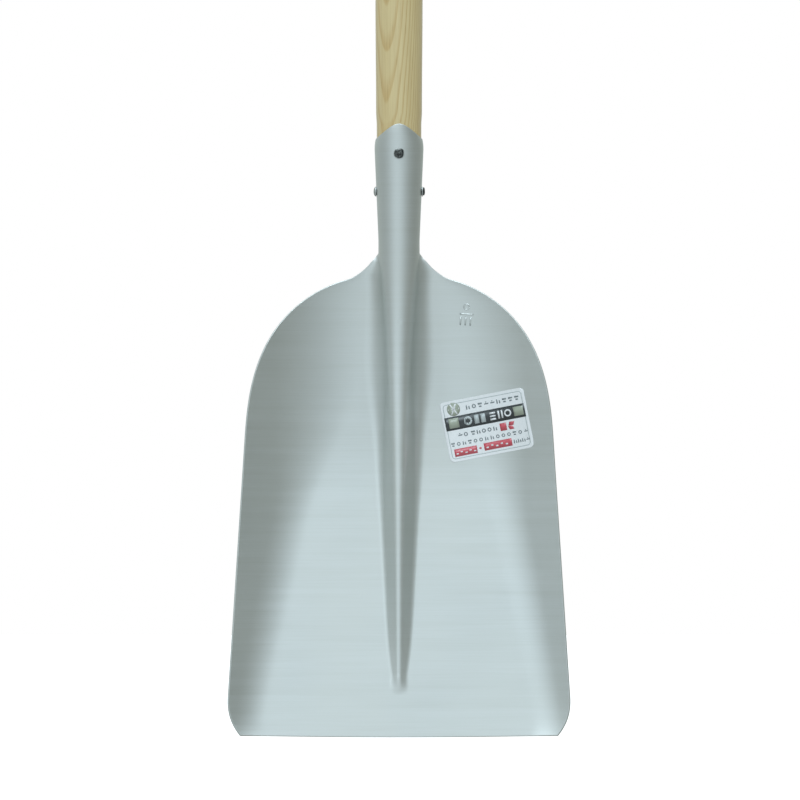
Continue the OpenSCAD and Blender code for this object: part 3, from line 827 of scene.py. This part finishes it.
def rivet(name, r, grip, head, tail, axis, at, replaces, materials, seed, notch=None):
    """Rivet along an axis: domed head behind `at`, shank, and a hammered tail at the far end."""
    rng = random.Random(seed)
    bumps = [(rng.uniform(0.012, 0.03), k, rng.uniform(0, 2 * pi)) for k in (2, 3, 4)]
    head_r, head_h = head
    tail_r, tail_h = tail
    profile = [(0.0, -head_h)]
    profile += [(head_r * sin(a), -head_h * cos(a) ** 0.85) for a in np.linspace(0.1, pi / 2 - 0.12, 14)]
    profile += [(head_r, -0.12), (head_r - 0.12, 0.0), (r, 0.0), (r, grip)]
    profile += [(tail_r * 0.9, grip), (tail_r, grip + 0.2 * tail_h), (tail_r * 0.99, grip + 0.45 * tail_h)]
    crown = ((0.93, 0.68), (0.82, 0.85), (0.66, 0.95), (0.48, 1.0), (0.3, 0.99), (0.14, 0.97))
    profile += [(tail_r * f, grip + tail_h * h) for f, h in crown]
    profile.append((0.0, grip + tail_h * 0.96))

    def hammered(q, z, a):
        if z < grip or (z == grip and q <= r):
            return q, z
        swell = 1 + sum(s * cos(k * a + p) for s, k, p in bumps)
        if notch is not None:
            d = (a - notch + pi) % (2 * pi) - pi
            swell *= 1 - 0.52 * np.exp(-(d / 0.38) ** 2) + 0.10 * np.exp(-((abs(d) - 0.75) / 0.35) ** 2)
        height = smooth(grip, grip + tail_h, z)
        dent = noise.noise(Vector((q * cos(a) * 0.75, q * sin(a) * 0.75, seed))) * 0.22 * height
        if notch is not None:
            dent -= 0.3 * np.exp(-(d / 0.4) ** 2) * smooth(0.2, 1.0, q / tail_r) * height
        return q * swell, z + dent
    verts, faces = lathe(profile, 64, hammered)
    rings = len(profile) - 2
    obj = new_object(name, turned(verts, axis, at), faces, materials, replaces)
    if len(materials) > 1:
        first_tail = 1 + 64 * (rings - 9)
        for poly in obj.data.polygons:
            poly.material_index = 1 if min(poly.vertices) >= first_tail - 64 else 0
    return obj


def burr(name, r_in, r_out, thick, axis, at, material, replaces, dish=0.12):
    """Washer with rounded edges, slightly dished under the tail."""
    e = thick * 0.32
    loop = [(r_in, e), (r_in + e, 0.0)]
    loop += [(r_out - e + e * sin(a), e - e * cos(a)) for a in np.linspace(0, pi / 2, 5)]
    loop += [(r_out - e + e * cos(a), thick - e + e * sin(a)) for a in np.linspace(0, pi / 2, 5)]
    loop += [(r_in + 0.6 * (r_out - r_in), thick - dish * 0.5), (r_in + e, thick - dish)]
    loop.append((r_in, thick - dish - e * 0.5))
    verts, faces = ring_lathe(loop)
    return new_object(name, turned(verts, axis, at), faces, [material], replaces)


def socket_rivets():
    r = socket_r(FRONT_RIVET_Z) + 0.05
    rivet("front_rivet_steel", RIVET_R, 2 * r + 0.85, (4.6, 2.2), (3.5, 1.35), (0, -1, 0),
          (0, AXIS_Y + r, FRONT_RIVET_Z), ["front_rivet"],
          [HEAD_STEEL, TAIL_STEEL], 11, FRONT_NOTCH)
    burr("front_burr_washer", RIVET_R + 0.05, 4.1, 0.8, (0, -1, 0), (0, AXIS_Y - r, FRONT_RIVET_Z),
         BURR, ["front_burr"])
    r = socket_r(SIDE_RIVET_Z) + 0.05
    rivet("side_rivet_steel", RIVET_R, 2 * r + 0.85, (3.6, 2.0), (3.2, 1.4), (1, 0, 0),
          (-r, AXIS_Y, SIDE_RIVET_Z), ["side_rivet"], [HEAD_STEEL, TAIL_STEEL], 23, SIDE_NOTCH)
    burr("side_burr_washer", RIVET_R + 0.05, 3.6, 0.8, (1, 0, 0), (r, AXIS_Y, SIDE_RIVET_Z),
         BURR, ["side_burr"])


FRONT_NOTCH = pi / 2
SIDE_NOTCH = 0.0
shaft()
socket_rivets()


# ---- D-grip: two pressed shells, their rivets, and the turned bar on its pin ----

RING_Z = SHAFT_TOP + 70
RING_MID = HAND_R + ARM_W / 2
YOKE_T = 1.6
FERRULE_R = SHAFT_R + 0.05 + YOKE_T
FERRULE_TOP = SHAFT_TOP + 1
SHOULDER_TOP = RING_Z - HAND_R - 2


def rounded_loop(half_x, half_y, corner, steps=8):
    """Closed loop round a rectangle with rounded corners."""
    loop = []
    for q, (sx, sy) in enumerate(((1, 1), (-1, 1), (-1, -1), (1, -1))):
        cx, cy = sx * (half_x - corner), sy * (half_y - corner)
        loop += [(cx + corner * cos(pi / 2 * (q + k / steps)), cy + corner * sin(pi / 2 * (q + k / steps)))
                 for k in range(steps + 1)]
    return loop


def tube_between(sections):
    """Closed solid through a list of equal-length vertex loops, capped at both ends."""
    n = len(sections[0])
    verts = [v for s in sections for v in s]
    faces = [tuple(range(n))[::-1], tuple(range((len(sections) - 1) * n, len(sections) * n))]
    for j in range(len(sections) - 1):
        a, b = j * n, (j + 1) * n
        faces += [(a + k, a + (k + 1) % n, b + (k + 1) % n, b + k) for k in range(n)]
    return verts, faces


def arm_sections():
    """The U of the grip, as loops across it from the top of one arm to the top of the other."""
    def cut(x, z, heading, inset):
        c, s = cos(heading), sin(heading)
        loop = rounded_loop(ARM_W / 2 - inset, ARM_W / 2 - inset, 4.6 - inset * 0.6)
        return [Vector((x + u * c, v, z + u * s)) for u, v in loop]
    sections = []
    rounding = [(3.0 * (1 - sin(a)), 3.0 * (1 - cos(a))) for a in np.linspace(0, pi / 2, 6)]
    for inset, drop in rounding:
        sections.append(cut(RING_MID, ARM_TOP - drop, 0.0, inset))
    for z in np.linspace(ARM_TOP - 6, RING_Z + 2, 10):
        sections.append(cut(RING_MID, z, 0.0, 0.0))
    for a in np.linspace(0, pi, 61):
        sections.append(cut(RING_MID * cos(a), RING_Z - RING_MID * sin(a), -a, 0.0))
    for z in np.linspace(RING_Z + 2, ARM_TOP - 6, 10):
        sections.append(cut(-RING_MID, z, -pi, 0.0))
    for inset, drop in rounding[::-1]:
        sections.append(cut(-RING_MID, ARM_TOP - drop, -pi, inset))
    return sections


def ferrule_sections():
    sections = []
    for z in np.linspace(FERRULE_BOTTOM - 3, SHOULDER_TOP + 2, 30):
        w = smooth(FERRULE_TOP - 1, SHOULDER_TOP + 3, z)
        half_x = FERRULE_R + (26 - FERRULE_R) * w ** 1.3
        half_y = FERRULE_R + (ARM_W / 2 - FERRULE_R) * w
        corner = FERRULE_R * (1 - w) + 4.6 * w
        sections.append([Vector((u, v, z)) for u, v in rounded_loop(half_x, half_y, corner - 0.01)])
    return sections


def yoke():
    """Both shells from one smooth outer skin, split at the middle plane and given the sheet's thickness."""
    verts, faces = [], []
    for sections in (arm_sections(), ferrule_sections()):
        v, f = tube_between(sections)
        faces += [tuple(i + len(verts) for i in face) for face in f]
        verts += v
    mesh = bpy.data.meshes.new("yoke_skin")
    mesh.from_pydata([row_point(v.x, v.y + AXIS_Y, v.z) for v in verts], [], faces)
    bm = bmesh.new()
    bm.from_mesh(mesh)
    bmesh.ops.recalc_face_normals(bm, faces=bm.faces)
    bm.to_mesh(mesh)
    bm.free()
    skin = bpy.data.objects.new("yoke_skin", mesh)
    bpy.context.scene.collection.objects.link(skin)
    remesh = skin.modifiers.new("join", "REMESH")
    remesh.mode = "VOXEL"
    remesh.voxel_size = 0.9 * MM
    even = skin.modifiers.new("even", "SMOOTH")
    even.factor = 0.5
    even.iterations = 14
    joined = bpy.data.meshes.new_from_object(skin.evaluated_get(bpy.context.evaluated_depsgraph_get()))
    bpy.data.objects.remove(skin)
    for side, name in ((-1, "yoke_front"), (1, "yoke_back")):
        bm = bmesh.new()
        bm.from_mesh(joined)
        for at, out in ((Vector((0, side * 0.06 * MM, 0)), Vector((0, -side, 0))),
                        (row_point(0, 0, FERRULE_BOTTOM), Vector((0, 0, -1)))):
            everything = bm.verts[:] + bm.edges[:] + bm.faces[:]
            bmesh.ops.bisect_plane(bm, geom=everything, plane_co=at, plane_no=out, clear_outer=True)
        bm.normal_update()
        for v in bm.verts:
            d = abs(v.co.y) / MM
            if d < 1.0:
                v.co -= Vector((v.normal.x, 0, v.normal.z)) * 0.3 * MM * (1 - d) ** 2
        shell = bpy.data.meshes.new(name + "_shell")
        bm.to_mesh(shell)
        bm.free()
        obj = bpy.data.objects.new(name + "_shell", shell)
        bpy.context.scene.collection.objects.link(obj)
        solid = obj.modifiers.new("sheet", "SOLIDIFY")
        solid.thickness = YOKE_T * MM
        solid.offset = -1
        shaped = bpy.data.meshes.new_from_object(obj.evaluated_get(bpy.context.evaluated_depsgraph_get()))
        obj.modifiers.clear()
        obj.data = shaped
        obj.data.materials.append(YOKE)
        finish_piece(obj, [name])


def yoke_rivets():
    r = FERRULE_R + 0.05
    rivet("yoke_rivet_steel", RIVET_R, 2 * r + 0.85, (4.6, 2.2), (3.4, 1.4), (0, -1, 0),
          (0, AXIS_Y + r, YOKE_RIVET_Z), ["yoke_rivet"], [ZINC], 31)
    burr("yoke_rivet_washer", RIVET_R + 0.05, 4.4, 0.8, (0, -1, 0), (0, AXIS_Y - r, YOKE_RIVET_Z),
         BURR, ["yoke_rivet_burr"])
    for k, a in enumerate((-72, -34, 34, 72)):
        x, z = RING_MID * sin(radians(a)), RING_Z - RING_MID * cos(radians(a))
        rivet(f"arm_rivet_{k + 1}", 2.0, ARM_W, (4.0, 1.8), (3.6, 1.4), (0, -1, 0),
              (x, AXIS_Y + ARM_W / 2, z), ["arm_rivets"] if k == 0 else [], [ZINC], 41 + k)


def grip():
    """Turned bar with a soft swell and two grooves at each end, on its pin, between cupped washers."""
    half = HAND_R - 1.55
    end_r = BAR_R - 1.6
    profile = [(PIN_R + 0.1, -half), (end_r - 2.2, -half)]
    side = []
    for x in np.linspace(-half + 0.2, half - 0.2, 180):
        edge = half - abs(x)
        r = BAR_R - (BAR_R - end_r) * (x / half) ** 2
        r -= 2.0 * max(0.0, 1 - edge / 2.6) ** 2
        for groove in (6.0, 8.6):
            r -= 0.55 * np.exp(-((edge - groove) / 0.45) ** 2)
        side.append((r, x))
    profile += side + [(end_r - 2.2, half), (PIN_R + 0.1, half)]
    verts, faces = ring_lathe(profile, 112)
    verts = turned(verts, (1, 0, 0), (0, AXIS_Y, BAR_Z))
    new_object("grip_bar_wood", verts, faces, [GRIP_WOOD], ["grip_bar"])
    span = 2 * (HAND_R + ARM_W)
    rivet("grip_pin_steel", PIN_R, span, (7.0, 2.6), (6.2, 1.9), (1, 0, 0), (-span / 2, AXIS_Y, BAR_Z),
          ["grip_pin"], [ZINC], 57)
    for s, name in ((-1, "left"), (1, "right")):
        loop = [(PIN_R + 0.05, 0.35), (PIN_R + 0.4, 0.05), (8.2, 0.05), (9.9, 0.35), (10.45, 0.75),
                (10.3, 1.3), (9.7, 1.4), (8.4, 1.0), (PIN_R + 0.4, 0.95), (PIN_R + 0.05, 0.7)]
        verts, faces = ring_lathe(loop)
        verts = turned(verts, (-s, 0, 0), (s * (HAND_R - 0.03), AXIS_Y, BAR_Z))
        new_object(f"grip_washer_{name}", verts, faces, [ZINC], ["grip_washers"] if s < 0 else [])


yoke()
yoke_rivets()
grip()


# ---- Camera, light and stage ----

CAMERA_DISTANCE = 14.0
VIEW_W = 0.5779
VIEW_Z = 242.9
SENSOR = 36.0


def camera():
    cam = bpy.data.cameras.new("camera")
    obj = bpy.data.objects.new("camera", cam)
    bpy.context.scene.collection.objects.link(obj)
    target = row_point(0.7, 20, VIEW_Z)
    obj.location = target + Vector((0, -CAMERA_DISTANCE, 0))
    obj.rotation_euler = (pi / 2, 0, 0)
    cam.sensor_width = SENSOR
    cam.lens = SENSOR * CAMERA_DISTANCE / VIEW_W
    cam.clip_end = 60
    bpy.context.scene.camera = obj


# The studio: an even pale room, and a few large soft panels that fade into it
COOL = (0.82, 0.97, 1.08)
PALE = (0.90, 1.0, 0.95)
ROOM = 0.30
# Bearing from the front towards the right, height, strength, colour, and how narrow the panel is
PANELS = {
    "window": (-40, 45, 0.5, COOL, 8),
    "front card": (-10, 10, 0.32, COOL, 4),
    "overhead": (0, 85, 4.0, COOL, 11),
    "left card": (-110, 10, 0.15, COOL, 3),
    "low card": (0, -35, 0.4, COOL, 4),
    "back card": (180, 20, 0.35, PALE, 3),
}


def world():
    """White backdrop for the camera; for light, soft panels that fade into each other."""
    scene_world = bpy.data.worlds.new("studio")
    bpy.context.scene.world = scene_world
    scene_world.use_nodes = True
    tree = scene_world.node_tree
    tree.nodes.clear()
    direction = node(tree, "ShaderNodeTexCoord").outputs["Generated"]
    light = tuple(ROOM * c for c in PALE)
    for bearing, height, strength, tint, focus in PANELS.values():
        a, e = radians(bearing), radians(height)
        towards = (sin(a) * cos(e), -cos(a) * cos(e), sin(e))
        color = tuple(strength * c for c in tint)
        facing = node(tree, "ShaderNodeVectorMath", {0: direction, 1: towards}, operation="DOT_PRODUCT")
        glow = math_node(tree, "MULTIPLY_ADD", facing.outputs["Value"], focus, -focus)
        glow = math_node(tree, "EXPONENT", glow)
        panel = node(tree, "ShaderNodeVectorMath", {0: color, "Scale": glow}, operation="SCALE")
        light = node(tree, "ShaderNodeVectorMath", {0: light, 1: panel.outputs["Vector"]}, operation="ADD")
        light = light.outputs["Vector"]
    studio = node(tree, "ShaderNodeBackground", {"Color": light, "Strength": 1.0})
    white = node(tree, "ShaderNodeBackground", {"Color": (1, 1, 1, 1), "Strength": 1.0})
    seen = node(tree, "ShaderNodeLightPath").outputs["Is Camera Ray"]
    mixed = node(tree, "ShaderNodeMixShader", {0: seen, 1: studio.outputs[0], 2: white.outputs[0]})
    node(tree, "ShaderNodeOutputWorld", {"Surface": mixed.outputs[0]})


def floor():
    mesh = bpy.data.meshes.new("floor")
    size = 6.0
    z = CAD_BOX[0][2] - 0.0005
    corners = [(-size, -size, z), (size, -size, z), (size, size, z), (-size, size, z)]
    mesh.from_pydata(corners, [], [(0, 1, 2, 3)])
    obj = bpy.data.objects.new("floor", mesh)
    bpy.context.scene.collection.objects.link(obj)
    mat, _, shader = principled("floor_white", (0.3, 0.3, 0.3), 0.0, 0.9)
    shader.inputs["Emission Color"].default_value = (1, 1, 1, 1)
    shader.inputs["Emission Strength"].default_value = 0.93
    mesh.materials.append(mat)
    obj.visible_glossy = False
    obj.visible_diffuse = False


camera()
world()
floor()
bpy.context.scene.view_settings.view_transform = "Standard"
